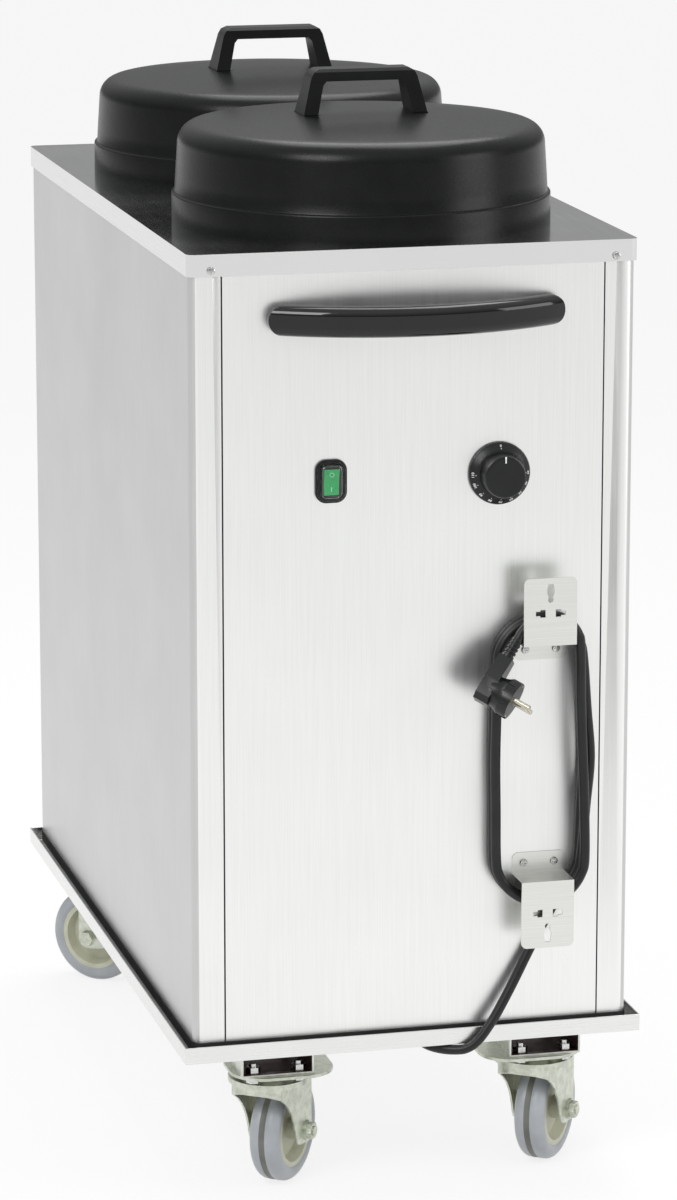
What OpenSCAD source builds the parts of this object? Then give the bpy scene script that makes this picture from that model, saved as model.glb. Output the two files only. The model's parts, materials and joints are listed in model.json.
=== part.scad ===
// Heated plate dispenser trolley with two wells, drawn in millimetres.
// +Z is up and the floor is z = 0. The front, with the push handle, faces -Y.

/* [Cabinet] */
// width of the cabinet walls
body_w = 446; // [430:1:480]
// depth of the cabinet walls
body_d = 820; // [800:1:880]
// height of the cabinet walls from the tray floor to the underside of the deck
body_h = 800.5; // [700:0.5:900]
// outer radius of the upright wall corners
body_r = 10; // [6:1:12]
// thickness of the wall sheets
wall_t = 1.2; // [1:0.1:1.5]
// width of a side panel's edge that is folded round onto the front
side_wrap = 31.1; // [29:0.1:40]
// width of the upright gap beside the front panel
panel_gap = 1.4; // [0.8:0.1:3]
// depth of the folded edges of the wall panels
fold_d = 13; // [11:1:20]

/* [Deck] */
// how far the deck rim stands out from the walls
deck_over = 2; // [1.8:0.1:6]
// height of the folded deck rim
deck_rim = 21.6; // [20:0.1:30]
// thickness of the deck sheet
deck_t = 1.5; // [1.2:0.1:1.6]
// outer radius of the deck corners
deck_r = 8; // [4:1:12]

/* [Tray] */
// how far the tray stands out from the walls
tray_over = 11; // [8:1:20]
// height of the tray rim
tray_h = 17; // [12:1:22]
// thickness of the tray floor
tray_t = 2; // [1.5:0.5:3]
// thickness of the tray rim
tray_rim_t = 1.5; // [1:0.1:3]

/* [Wells] */
// gap between the two lids
lid_gap = 16; // [14:0.5:20]
// room between a lid and the end of the cabinet walls
end_room = 22; // [20:0.5:24]
// how far the inside of a plate tube lies within the foot of its lid
tube_in = 25; // [24:0.5:30]
// wall of a plate tube
tube_t = 1.2; // [0.8:0.1:1.3]
// how far the collar lip that stops the platform reaches in over the plate tube
lip_in = 13; // [13:0.5:17]
// height of the collar above the deck
collar_h = 9; // [7:0.5:14]
// gap between a platform and its plate tube
plat_gap = 4; // [3:0.5:7]
// thickness of the platform
plat_t = 2; // [1.5:0.5:3]
// height of the well base above the floor
base_z = 300; // [280:1:320]
// radius of a guide bar
bar_r = 4; // [3:0.5:4]

/* [Lids] */
// depth of the step round a lid
lid_step = 3; // [3:0.5:4]
// height of the step
lid_step_z = 27; // [20:1:34]
// height at the middle of the lid
lid_h = 106; // [104:1:108]
// wall thickness
lid_t = 3; // [2:0.5:3.5]
// top of the lid handle above the deck
bail_h = 149.5; // [145:0.5:160]
// thickness of the lid handle's bar
bail_t = 12; // [10:0.5:14]

/* [Push handle] */
// half length of the push handle
grip_half = 148; // [144:1:152]
// height of the push handle's middle below the deck top
grip_drop = 65; // [50:1:90]
// how far the push handle stands out at its middle
grip_reach = 55; // [48:1:58]
// depth of the bar
grip_d = 22; // [20:1:24]
// height of the bar
grip_h = 30; // [28:1:34]

/* [Controls] */
// knob centre to the right of the middle
knob_x = 85.4; // [70:0.1:110]
// switch centre to the left of the middle
switch_x = 83.9; // [70:0.1:110]
// height of both below the deck top
control_drop = 226; // [200:1:260]
// radius of the knob's skirt
knob_r = 31; // [27:0.5:34]
// radius of the knob's grip
knob_grip_r = 21; // [18:0.5:22]
// front face of the knob above the panel
knob_h = 26; // [22:0.5:30]

/* [Cord brackets] */
// middle of the brackets
brk_x = 129; // [127:0.5:131]
// width of a bracket
brk_w = 54; // [50:1:55]
// how far the bracket plate stands out
brk_out = 36; // [36:0.5:40]
// sheet of a bracket
brk_t = 1.2; // [1:0.1:1.3]
// height of the upper shelf below the deck top
brk_top_drop = 393; // [392:0.5:394]
// height of the lower shelf below the deck top
brk_low_drop = 635; // [635:0.5:637]
// length of a bracket plate from its shelf
brk_plate = 67; // [62:1:70]
// length of a bracket foot on the panel
brk_foot = 22.5; // [20:0.5:26]

/* [Casters] */
// room between the top of a wheel and the spacer channel
head_room = 23; // [22:1:26]
// wheel width
wheel_w = 32; // [28:1:34]
// overall height of a caster
caster_h = 131; // [128:1:135]
// distance from the swivel axis to the wheel axis
trail = 34; // [32:1:38]
// distance of the swivel axes from the middle line
swivel_x = 138; // [130:1:150]
// front swivel axes behind the front wall
swivel_front = 40; // [40:1:60]
// rear swivel axes ahead of the rear wall
swivel_rear = 60; // [50:1:90]
// height of the spacer channel over a caster
spacer_h = 22; // [20:1:26]
// width of the spacer channel
spacer_w = 74; // [70:1:80]
// depth of the spacer channel
spacer_d = 80; // [76:1:84]
// turn of the front casters
turn_front = 53; // [0:1:90]
// turn of the rear left caster
turn_rear_left = 139; // [90:1:180]
// turn of the rear right caster
turn_rear_right = 62; // [0:1:90]

/* [Hidden] */
$fn = 96;
fit = 0.05;        // running clearance of shafts and screws in their bores
near = 0.3;        // clearance between pieces that do not fit into each other
tray_z = caster_h + spacer_h;
floor_z = tray_z + tray_t;
deck_under = floor_z + body_h;
deck_z = deck_under + deck_t;
front_half = body_w / 2 - side_wrap - panel_gap;
wheel_d = caster_h - head_room;
// the middle of the box lies half way from the handle to the back edge of the tray
cab_y = (grip_reach - tray_over) / 2;
fy = cab_y - body_d / 2;
by = cab_y + body_d / 2;
// two lids fill the length of the deck
lid_r = (body_d - lid_gap - 2 * end_room) / 4;
lid_wall_r = lid_r - lid_step;
tube_r = lid_r - tube_in;
lip_r = tube_r - lip_in;
plat_r = tube_r - plat_gap;
well_y = [cab_y - lid_r - lid_gap / 2, cab_y + lid_r + lid_gap / 2];
ctrl_z = deck_z - control_drop;
grip_z = deck_z - grip_drop;
frame_x = body_w / 2 - wall_t;
frame_y = body_d / 2 - fold_d;
bar = 25;          // side of the frame angles
bar_t = 3;         // wall of the frame angles
screw_r = 2;
screw_l = 20;
head_r = 4;
head_h = 2.8;
deck_screw_x = body_w / 2 - 21;
deck_screw_z = deck_z - 16;
grip_screw_x = 130;
brk_screw = 15.7;
brk_screw_d = 12;
brk_up_z = deck_z - brk_top_drop;
brk_lo_z = deck_z - brk_low_drop;
swivels = [[-swivel_x, fy + swivel_front, turn_front], [swivel_x, fy + swivel_front, turn_front],
           [-swivel_x, by - swivel_rear, turn_rear_left], [swivel_x, by - swivel_rear, turn_rear_right]];
cord_r = 5;

// ---------- shared shapes ----------
module rrect(w, d, r) {
    square([w - 2 * r, d], center = true);
    square([w, d - 2 * r], center = true);
    for (x = [-1, 1], y = [-1, 1]) translate([x * (w / 2 - r), y * (d / 2 - r)]) circle(r);
}

module box(lo, hi) {
    translate(lo) cube(hi - lo);
}

// a cylinder that points to the front from a point on the panel plane
module to_front(x, z, y0, r, len, fn = 48) {
    translate([x, y0, z]) rotate([90, 0, 0]) cylinder(r = r, h = len, $fn = fn);
}

// pan-head screw with a cross recess, head on the +Z side of z = 0, shank below
module pan_screw() {
    difference() {
        union() {
            translate([0, 0, -screw_l]) cylinder(r = screw_r, h = screw_l + 0.5, $fn = 32);
            rotate_extrude($fn = 48)
                polygon([[0, 0], [head_r, 0], [head_r, 1.3], [head_r * 0.8, 2.3], [0, head_h]]);
        }
        for (a = [0, 90]) rotate([0, 0, a])
            translate([-2.3, -0.5, 1.2]) cube([4.6, 1, 3]);
    }
}

module screw_front(x, y, z) { translate([x, y, z]) rotate([90, 0, 0]) pan_screw(); }
module screw_back(x, y, z) { translate([x, y, z]) rotate([-90, 0, 0]) pan_screw(); }

// a ring of angle section, horizontal leg at the bottom, or at the top when up is 1
module angle_ring(z, up = 0) {
    difference() {
        translate([0, cab_y, z + bar / 2]) cube([2 * frame_x, 2 * frame_y, bar], center = true);
        translate([0, cab_y, z + bar / 2])
            cube([2 * frame_x - 2 * bar, 2 * frame_y - 2 * bar, bar + 2], center = true);
        translate([0, cab_y, z + bar / 2 + (up == 1 ? -bar_t : bar_t)])
            cube([2 * (frame_x - bar_t), 2 * (frame_y - bar_t), bar], center = true);
    }
}

// swept tube of triangles along points, ref is never parallel to the path
function unit(v) = v / norm(v);
function tangent(P, i) = i == 0 ? unit(P[1] - P[0])
    : i == len(P) - 1 ? unit(P[i] - P[i - 1])
    : unit(unit(P[i] - P[i - 1]) + unit(P[i + 1] - P[i]));
function ring(P, i, t, r, n, ref) = let (a = unit(cross(t, ref)), b = cross(t, a))
    [for (k = [0 : n - 1]) P[i] + r * (cos(360 * k / n) * a + sin(360 * k / n) * b)];
// first and last, where given, are the directions of the tube at its two ends
module sweep(P, r, n, ref, first = undef, last = undef) {
    m = len(P);
    pts = [for (i = [0 : m - 1]) each ring(P, i, i == 0 && first != undef ? first
        : i == m - 1 && last != undef ? last : tangent(P, i), r, n, ref)];
    sides = [for (i = [0 : m - 2], k = [0 : n - 1])
        let (a = i * n + k, b = i * n + (k + 1) % n)
        each [[a, a + n, b], [b, a + n, b + n]]];
    caps = [for (k = [1 : n - 2]) each [[0, k, k + 1],
        [(m - 1) * n, (m - 1) * n + k + 1, (m - 1) * n + k]]];
    polyhedron(points = pts, faces = concat(sides, caps), convexity = 8);
}

// ---------- trolley base ----------
module tray() color("silver") {
    w = body_w + 2 * tray_over;
    d = body_d + 2 * tray_over;
    difference() {
        translate([-w / 2, cab_y - d / 2, tray_z]) cube([w, d, tray_h]);
        translate([-w / 2 + tray_rim_t, cab_y - d / 2 + tray_rim_t, floor_z])
            cube([w - 2 * tray_rim_t, d - 2 * tray_rim_t, tray_h]);
        translate([gland_p[0], gland_p[1], tray_z - 1])
            cylinder(r = gland_stub_r + fit, h = tray_t + 2, $fn = 48);
    }
}

spacer_t = 2;
bolt_r = 4;
bolt_x = 23;
bolt_y = 30;
plate_t = 3;
plate_in = 62;
plate_out = 43;
plate_d = 94;
plate_r = 34;
module caster_spacers() color("silver")
    for (s = swivels) translate([s[0], s[1], caster_h]) difference() {
        translate([-spacer_w / 2, -spacer_d / 2, 0]) cube([spacer_w, spacer_d, spacer_h]);
        translate([-spacer_w / 2 + spacer_t, -spacer_d / 2 - 1, spacer_t])
            cube([spacer_w - 2 * spacer_t, spacer_d + 2, spacer_h - 2 * spacer_t]);
        for (x = [-1, 1], y = [-1, 1])
            translate([x * bolt_x, y * bolt_y, -1]) cylinder(r = bolt_r + fit, h = 4, $fn = 32);
    }

king_r = 6;
crown_z = caster_h - 16;
crown_top = caster_h - 10;
module caster_plates() color("gainsboro")
    for (s = swivels) translate([s[0], s[1], 0]) {
        inward = s[0] < 0 ? 1 : -1;
        mid = inward * (plate_in - plate_out) / 2;
        difference() {
            translate([mid, 0, caster_h - plate_t])
                linear_extrude(plate_t) rrect(plate_in + plate_out, plate_d, plate_r);
            for (x = [-1, 1], y = [-1, 1]) translate([x * bolt_x, y * bolt_y, caster_h - 5])
                cylinder(r = bolt_r + fit, h = 9, $fn = 32);
        }
        // bearing cup and king pin with its riveted head
        rotate_extrude($fn = 64) polygon([[0, crown_z - 6], [10, crown_z - 6], [10, crown_z - 0.1],
            [king_r, crown_z - 0.1], [king_r, crown_top + 0.1], [24, crown_top + 0.1],
            [26, caster_h - plate_t], [0, caster_h - plate_t]]);
    }

module caster_bolts() color("lightgray")
    for (s = swivels, x = [-1, 1], y = [-1, 1])
        translate([s[0] + x * bolt_x, s[1] + y * bolt_y, 0]) {
            translate([0, 0, caster_h - plate_t - 5]) cylinder(r = 7, h = 5, $fn = 6);
            translate([0, 0, caster_h - plate_t - 1])
                cylinder(r = bolt_r, h = plate_t + spacer_t + 11, $fn = 32);
            translate([0, 0, caster_h + spacer_t]) cylinder(r = 7.4, h = 6.5, $fn = 6);
        }

// caster frame: swivel axis at the origin, wheel axle along Y at x = trail, nut on the -Y side
module caster_at(i) {
    translate([swivels[i][0], swivels[i][1], 0]) rotate([0, 0, swivels[i][2]]) children();
}

axle_z = wheel_d / 2;
cheek_out = 27;
cheek_t = 2.5;
fork_r = 41;
axle_r = 5;
boss_r = 12;
crown_t = 3;
fork_low = axle_z - 24;
module fork_plan(grow) {
    intersection() {
        union() {
            circle(fork_r - grow);
            translate([0, -cheek_out + grow]) square([trail + boss_r + 2, 2 * (cheek_out - grow)]);
        }
        translate([-60, -cheek_out + grow]) square([120, 2 * (cheek_out - grow)]);
    }
}
module fork(i) color("gainsboro") caster_at(i) difference() {
    union() {
        // crown
        difference() {
            translate([0, 0, crown_z]) cylinder(r = fork_r, h = crown_top - crown_z, $fn = 96);
            translate([0, 0, crown_z - 1]) cylinder(r = fork_r - cheek_t, h = 4, $fn = 96);
        }
        // front wall and cheeks, cut to the swept side outline
        intersection() {
            difference() {
                translate([0, 0, fork_low]) linear_extrude(crown_top - fork_low) fork_plan(0);
                translate([0, 0, fork_low - 1])
                    linear_extrude(crown_top - crown_t - fork_low + 1) fork_plan(cheek_t);
                translate([trail, -cheek_out + cheek_t, fork_low - 1])
                    cube([40, 2 * (cheek_out - cheek_t), crown_top - crown_t - fork_low + 1]);
            }
            translate([0, 50, 0]) rotate([90, 0, 0]) linear_extrude(100) {
                polygon([[-50, crown_top + 1], [trail + boss_r, crown_top + 1],
                    [trail + boss_r, axle_z], [trail, axle_z - boss_r], [trail - 14, axle_z - 11],
                    [trail - 21, axle_z - 9], [trail - 24, axle_z - 4], [trail - 27, axle_z + 6],
                    [trail - 31, axle_z + 16], [trail - 36.5, axle_z + 26], [trail - 43, axle_z + 34.5],
                    [trail - 52, axle_z + 42.5], [-28, crown_top - 18], [-38, crown_top - 12.5],
                    [-50, crown_top - 9]]);
                translate([trail, axle_z]) circle(boss_r);
            }
        }
    }
    translate([0, 0, crown_z - 12]) cylinder(r = king_r + fit, h = 30, $fn = 48);
    translate([trail, 50, axle_z]) rotate([90, 0, 0]) cylinder(r = axle_r + fit, h = 100, $fn = 48);
}

module axle(i) color("silver") caster_at(i) translate([trail, 0, axle_z]) rotate([90, 0, 0]) {
    // shank, hex head on the +Y side, flanged nut on the -Y side
    translate([0, 0, -cheek_out - 1]) cylinder(r = axle_r, h = 2 * cheek_out + 10, $fn = 48);
    translate([0, 0, -cheek_out - 6]) cylinder(r = 9, h = 6, $fn = 6);
    translate([0, 0, cheek_out]) cylinder(r = 10.5, h = 2, $fn = 48);
    translate([0, 0, cheek_out + 1]) cylinder(r = 9, h = 6.5, $fn = 6);
}

hub_half = cheek_out - cheek_t - near;
rim_r = wheel_d / 2 - 15;
module rim(i) color("tan") caster_at(i) translate([trail, 0, axle_z]) rotate([90, 0, 0])
    rotate_extrude($fn = 96) {
        w = wheel_w / 2 - 1.5;
        polygon([[axle_r + fit, -hub_half], [11, -hub_half], [12, -9], [rim_r - 9, -4], [rim_r - 5, -w],
            [rim_r, -w], [rim_r, w], [rim_r - 5, w], [rim_r - 9, 4], [12, 9], [11, hub_half],
            [axle_r + fit, hub_half]]);
    }

module tyre(i) color("darkgray") caster_at(i) translate([trail, 0, axle_z]) rotate([90, 0, 0])
    rotate_extrude($fn = 96) {
        w = wheel_w / 2;
        ro = wheel_d / 2;
        c = 10;
        polygon(concat([[rim_r, -w + 1.5], [rim_r + 2, -w]],
            [for (a = [-90 : 15 : -15]) [ro - c + c * cos(a), -w + c + c * sin(a)]], [[ro, 0]],
            [for (a = [15 : 15 : 90]) [ro - c + c * cos(a), w - c + c * sin(a)]],
            [[rim_r + 2, w], [rim_r, w - 1.5]]));
    }

// ---------- cabinet shell ----------
bearer = 120;
mid_z = base_z - plat_t - bar;
module chassis_frame() color("dimgray") difference() {
    union() {
        angle_ring(floor_z);
        angle_ring(mid_z, 1);
        angle_ring(deck_under - bar, 1);
        for (sx = [-1, 1], sy = [-1, 1]) difference() {
            lo = floor_z + bar - 1;
            hi = deck_under - bar + 1;
            translate([sx * (frame_x - bar / 2), cab_y + sy * (frame_y - bar / 2), (lo + hi) / 2])
                cube([bar, bar, hi - lo], center = true);
            translate([sx * (frame_x - bar / 2 - bar_t), cab_y + sy * (frame_y - bar / 2 - bar_t),
                (lo + hi) / 2]) cube([bar, bar, hi - lo + 2], center = true);
        }
        for (y = well_y, s = [-1, 1]) translate([0, y + s * bearer, mid_z + bar - 4])
            cube([2 * (frame_x - 1), bar, 8], center = true);
    }
    for (x = [-1, 1], y = [fy + fold_d, by - fold_d])
        to_front(x * deck_screw_x, deck_screw_z, y + 10, screw_r + fit, 20, 32);
}

module side_panel(s) color("lightgray") difference() {
    x0 = front_half + panel_gap;
    h = deck_under - 1 - floor_z;
    union() {
        translate([0, cab_y, floor_z]) linear_extrude(h) intersection() {
            difference() {
                rrect(body_w, body_d, body_r);
                rrect(body_w - 2 * wall_t, body_d - 2 * wall_t, body_r - wall_t);
            }
            translate([s > 0 ? x0 : -x0 - 100, -body_d]) square([100, 2 * body_d]);
        }
        for (e = [-1, 1]) translate([s > 0 ? x0 : -x0 - wall_t,
            e < 0 ? fy + wall_t / 2 : by - fold_d, floor_z])
            cube([wall_t, fold_d - wall_t / 2, h]);
    }
    for (y = [fy, by]) to_front(s * deck_screw_x, deck_screw_z, y + 5, screw_r + fit, 10, 32);
}

module flat_panel(y, s) {
    h = deck_under - 1 - floor_z;
    translate([-front_half, s > 0 ? y : y - wall_t, floor_z]) cube([2 * front_half, wall_t, h]);
    for (e = [-1, 1]) translate([e < 0 ? -front_half : front_half - wall_t,
        s > 0 ? y + wall_t / 2 : y - fold_d, floor_z]) cube([wall_t, fold_d - wall_t / 2, h]);
}

nut_l = 9;
module front_panel() color("whitesmoke") difference() {
    union() {
        flat_panel(fy, 1);
        for (z = [brk_up_z - brk_screw_d, brk_lo_z + brk_screw_d], e = [-1, 1])
            to_front(brk_x + e * brk_screw, z, fy + nut_l, 4, nut_l - wall_t / 2, 32);
    }
    for (z = [brk_up_z - brk_screw_d, brk_lo_z + brk_screw_d], e = [-1, 1])
        to_front(brk_x + e * brk_screw, z, fy + 20, screw_r + fit, 30, 32);
    for (e = [-1, 1]) to_front(e * grip_screw_x, grip_z, fy + 20, screw_r + fit, 30, 32);
    to_front(knob_x, ctrl_z, fy + 20, neck_r + fit, 30);
    translate([-switch_x, fy + 5, ctrl_z]) rotate([90, 0, 0]) linear_extrude(10)
        square([sw_w + 2 * near, sw_h + 2 * near], center = true);
}

module rear_panel() color("lightgray") flat_panel(by, -1);

module deck_top() color("silver") difference() {
    w = body_w + 2 * deck_over;
    d = body_d + 2 * deck_over;
    translate([0, cab_y, deck_z - deck_rim]) linear_extrude(deck_rim) rrect(w, d, deck_r);
    translate([0, cab_y, deck_z - deck_rim - 1]) linear_extrude(deck_rim - deck_t + 1)
        rrect(w - 2 * deck_t, d - 2 * deck_t, deck_r - deck_t);
    for (y = well_y) translate([0, y, deck_z - 5]) cylinder(r = sleeve_r + 1.5, h = 10, $fn = 128);
    for (x = [-1, 1], y = [fy, by])
        to_front(x * deck_screw_x, deck_screw_z, y + 5, screw_r + fit, 10, 32);
}

module panel_screws() color("silver") {
    for (x = [-1, 1]) {
        screw_front(x * deck_screw_x, fy - deck_over, deck_screw_z);
        screw_back(x * deck_screw_x, by + deck_over, deck_screw_z);
        screw_back(x * grip_screw_x, fy + wall_t, grip_z);
        for (z = [brk_up_z - brk_screw_d, brk_lo_z + brk_screw_d])
            screw_front(brk_x + x * brk_screw, fy - brk_t, z);
    }
}

// ---------- wells ----------
sleeve_r = tube_r + tube_t + near + 2;
bar_c = lip_r + bar_r + 0.5;
coil_r = 45;
wire_r = 2.5;
lip_z = deck_z + collar_h - 2;
module well_collars() color("silver") for (y = well_y) translate([0, y, deck_z])
    rotate_extrude($fn = 128) {
        h = collar_h;
        curb = sleeve_r + 6.5;
        polygon([[lip_r, h - 2], [lip_r, h], [curb, h], [curb + 2, h - 1], [curb + 2, 2], [curb + 7, 2],
            [curb + 7, 0], [curb, 0], [curb, h - 2], [sleeve_r, h - 2], [sleeve_r, -20], [sleeve_r - 2, -20],
            [sleeve_r - 2, h - 2]]);
    }

module plate_tube(i) color("lightsteelblue") translate([0, well_y[i], base_z]) difference() {
    cylinder(r = tube_r + tube_t, h = lip_z - base_z, $fn = 128);
    translate([0, 0, -1]) cylinder(r = tube_r, h = lip_z - base_z + 2, $fn = 128);
}

module guide_bars() color("silver")
    for (y = well_y, a = [45 : 90 : 315]) translate([0, y, base_z]) rotate([0, 0, a])
        translate([bar_c, 0, 0]) cylinder(r = bar_r, h = lip_z - base_z, $fn = 32);

centre_r = coil_r * cos(22.5) - wire_r - 0.6;
heat_r = 110;
heat_wire = 4;
heat_leg = 12;
module well_bases() color("gray") for (y = well_y) translate([0, y, 0]) difference() {
    union() {
        translate([0, 0, base_z - plat_t]) cylinder(r = sleeve_r + 3.5, h = plat_t, $fn = 128);
        // ring that centres the spring
        translate([0, 0, base_z - 1]) cylinder(r = centre_r, h = 13, $fn = 64);
        for (a = [30, 150, 210, 330]) rotate([0, 0, a]) translate([heat_r - 5, -5, base_z - 1])
            cube([10, 10, 7]);
    }
    translate([0, 0, base_z - 5]) cylinder(r = centre_r - 3, h = 30, $fn = 64);
    for (a = [60 : 60 : 300]) rotate([0, 0, a]) translate([72, 0, base_z - 5])
        cylinder(r = 14, h = 10, $fn = 32);
    for (e = [-1, 1]) translate([heat_r, e * heat_leg, base_z - 5])
        cylinder(r = heat_wire + 1, h = 10, $fn = 32);
}

// one compression spring, its end curls lying on the base and under the platform
curls = 14;
spring_lo = base_z + wire_r;
spring_hi = lip_z - near - plat_t - wire_r;
function spring_z(u) = let (s = u / curls, e = 1 / curls)
    s < e ? spring_lo + 2.2 * wire_r * s / e
    : s > 1 - e ? spring_hi - 2.2 * wire_r * (1 - s) / e
    : spring_lo + 2.2 * wire_r + (spring_hi - spring_lo - 4.4 * wire_r) * (s - e) / (1 - 2 * e);
module spring(i) color("slategray")
    sweep([for (k = [0 : 8 * curls]) [coil_r * cos(45 * k), well_y[i] + coil_r * sin(45 * k),
        spring_z(k / 8)]], wire_r - 0.02, 6, [0, 0, 1]);

plat_top = lip_z - near;
module platform(i) color("silver") translate([0, well_y[i], plat_top]) difference() {
    union() {
        translate([0, 0, -plat_t]) cylinder(r = plat_r, h = plat_t, $fn = 128);
        // cup round the spring and stiffening ring
        for (r = [coil_r + wire_r + 4, 105]) translate([0, 0, -plat_t - 9]) difference() {
            cylinder(r = r, h = 10, $fn = 96);
            translate([0, 0, -1]) cylinder(r = r - 2, h = 10, $fn = 96);
        }
    }
    for (a = [45 : 90 : 315]) rotate([0, 0, a]) {
        translate([bar_c, 0, -10]) cylinder(r = bar_r + 1, h = 20, $fn = 32);
        translate([bar_c, -bar_r - 1, -10]) cube([20, 2 * bar_r + 2, 20]);
    }
}

// ---------- lids ----------
shoulder = 20;
shoulder_c = lid_wall_r - 3 - shoulder;
lid_edge_z = 75.5;
dome_edge = shoulder_c + 1;
function arc2(cx, cz, r, a0, a1, n) =
    [for (k = [0 : n]) let (a = a0 + (a1 - a0) * k / n) [cx + r * cos(a), cz + r * sin(a)]];
dome_r = dome_edge + 2.5;
dome_rise = lid_h - lid_edge_z - shoulder * sin(80);
dome_R = (pow(dome_r, 2) + pow(dome_rise, 2)) / (2 * dome_rise);
function dome(r, R) = [r, lid_h - dome_R + sqrt(R * R - r * r)];
bail_foot_z = lid_h - 0.8;
bail_x = 55;
bail_hole_z = 90;
module lid_profile() {
    polygon(concat([[lid_r, 0], [lid_r, lid_step_z - 1], [lid_r - 1, lid_step_z],
        [lid_wall_r, lid_step_z]],
        arc2(shoulder_c, lid_edge_z, shoulder, 0, 80, 5),
        [for (k = [5 : -1 : 0]) dome(dome_edge * k / 5, dome_R)],
        [for (k = [0 : 5]) dome(dome_edge * k / 5, dome_R - lid_t)],
        arc2(shoulder_c, lid_edge_z, shoulder - lid_t, 80, 0, 5),
        [[lid_wall_r - lid_t, lid_step_z - 3], [lid_r - lid_t, lid_step_z - 4], [lid_r - lid_t, 0]]));
}
module lid(i) color("dimgray") translate([0, well_y[i], deck_z]) difference() {
    union() {
        rotate_extrude($fn = 128) lid_profile();
        // flat pads that the handle's feet stand on, with bosses inside
        for (e = [-1, 1]) translate([e * bail_x - 9, -21, lid_h - 5]) cube([18, 42, 4.2]);
        for (e = [-1, 1]) translate([e * bail_x, 0, bail_hole_z + 10])
            cylinder(r = 6, h = 4, $fn = 32);
    }
    for (e = [-1, 1]) translate([e * bail_x, 0, bail_hole_z])
        cylinder(r = screw_r + fit, h = 30, $fn = 32);
}

bail_out = 63.4;
bail_in = 48.7;
module bail_side() {
    z1 = bail_foot_z;
    z2 = bail_h;
    polygon([[-bail_out, z1], [-54.5, z2 - 8.5], [-51.5, z2 - 3], [-46, z2], [46, z2],
        [51.5, z2 - 3], [54.5, z2 - 8.5], [bail_out, z1], [bail_in, z1], [42.5, z2 - bail_t - 4],
        [39, z2 - bail_t], [-39, z2 - bail_t], [-42.5, z2 - bail_t - 4], [-bail_in, z1]]);
}
module lid_handle(i) color("black") translate([0, well_y[i], deck_z]) difference() {
    intersection() {
        translate([0, 30, 0]) rotate([90, 0, 0]) linear_extrude(60) bail_side();
        // deeper at the feet than along the bar, edges of the bar chamfered
        rotate([90, 0, 90]) translate([0, 0, -80]) linear_extrude(160)
            polygon([[-20, bail_foot_z], [-14.5, bail_h - 10], [-14, bail_h - 3], [-11, bail_h],
                [11, bail_h], [14, bail_h - 3], [14.5, bail_h - 10], [20, bail_foot_z]]);
    }
    for (e = [-1, 1]) translate([e * bail_x, 0, bail_hole_z])
        cylinder(r = screw_r + fit, h = 31, $fn = 32);
}
module lid_screws(i) color("silver") for (e = [-1, 1])
    translate([e * bail_x, well_y[i], deck_z + bail_hole_z + 10]) rotate([180, 0, 0]) pan_screw();

// ---------- heating and wiring ----------
module heaters() color("darkslategray") for (y = well_y) translate([0, y, 0]) {
    z = base_z + 6 + near + heat_wire;
    difference() {
        translate([0, 0, z]) rotate_extrude($fn = 96)
            translate([heat_r, 0]) circle(heat_wire, $fn = 24);
        translate([heat_r - 20, -heat_leg, z - 10]) cube([40, 2 * heat_leg, 20]);
    }
    for (e = [-1, 1]) translate([heat_r, e * heat_leg, base_z - 34])
        cylinder(r = heat_wire - 1, h = z - base_z + 34 + 1, $fn = 32);
}

neck_r = 6;
stat_r = 22;
stat_y = fy + wall_t;
bulb_r = 3.5;
module thermostat_body() color("beige") {
    // switch body against the back of the panel, threaded neck through it
    difference() {
        union() {
            to_front(knob_x, ctrl_z, stat_y + 26, stat_r, 26);
            to_front(knob_x, ctrl_z, stat_y + 5, neck_r, 5 + wall_t);
            for (e = [-1, 1]) translate([knob_x - 4, stat_y + 25, ctrl_z + e * 12 - 2]) cube([8, 9, 4]);
        }
        to_front(knob_x, ctrl_z, stat_y + 20, shaft_r + fit, 30);
    }
    // capillary tube and the bulb clipped to the front plate tube
    bulb_c = tube_r + tube_t + near + bulb_r;
    bulb = [bulb_c * sin(36), well_y[0] - bulb_c * cos(36), ctrl_z - 211];
    x = knob_x + 12;
    sweep([[x, stat_y + 25, ctrl_z], [x, stat_y + 30, ctrl_z - 4], [x + 1, stat_y + 34, ctrl_z - 14],
        [x + 2, stat_y + 36, ctrl_z - 40], [x, stat_y + 38, ctrl_z - 100],
        bulb + [0, 0, 72], bulb + [0, 0, 58]], 1.2, 6, [1, 0, 0]);
    translate(bulb) cylinder(r = bulb_r, h = 60, $fn = 24);
}

module safety_cutout() color("beige") for (y = well_y) translate([-60, y + 60, base_z - plat_t]) {
    translate([0, 0, -9]) cylinder(r = 11, h = 9, $fn = 48);
    for (e = [-1, 1]) translate([e * 5 - 2, -3, -17]) cube([4, 1, 9]);
}

// terminals: five holes in a row, each with a wire standing in it
term_y = fy + 58;
term_x = 30;
term_pitch = 13;
term_hole = 3;
module terminal_block() color("white") difference() {
    box([term_x - 10, term_y - 12, floor_z], [term_x + 4 * term_pitch + 10, term_y + 12, floor_z + 20]);
    for (k = [0 : 4]) translate([term_x + k * term_pitch, term_y, floor_z + 10])
        cylinder(r = term_hole, h = 12, $fn = 24);
}

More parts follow.
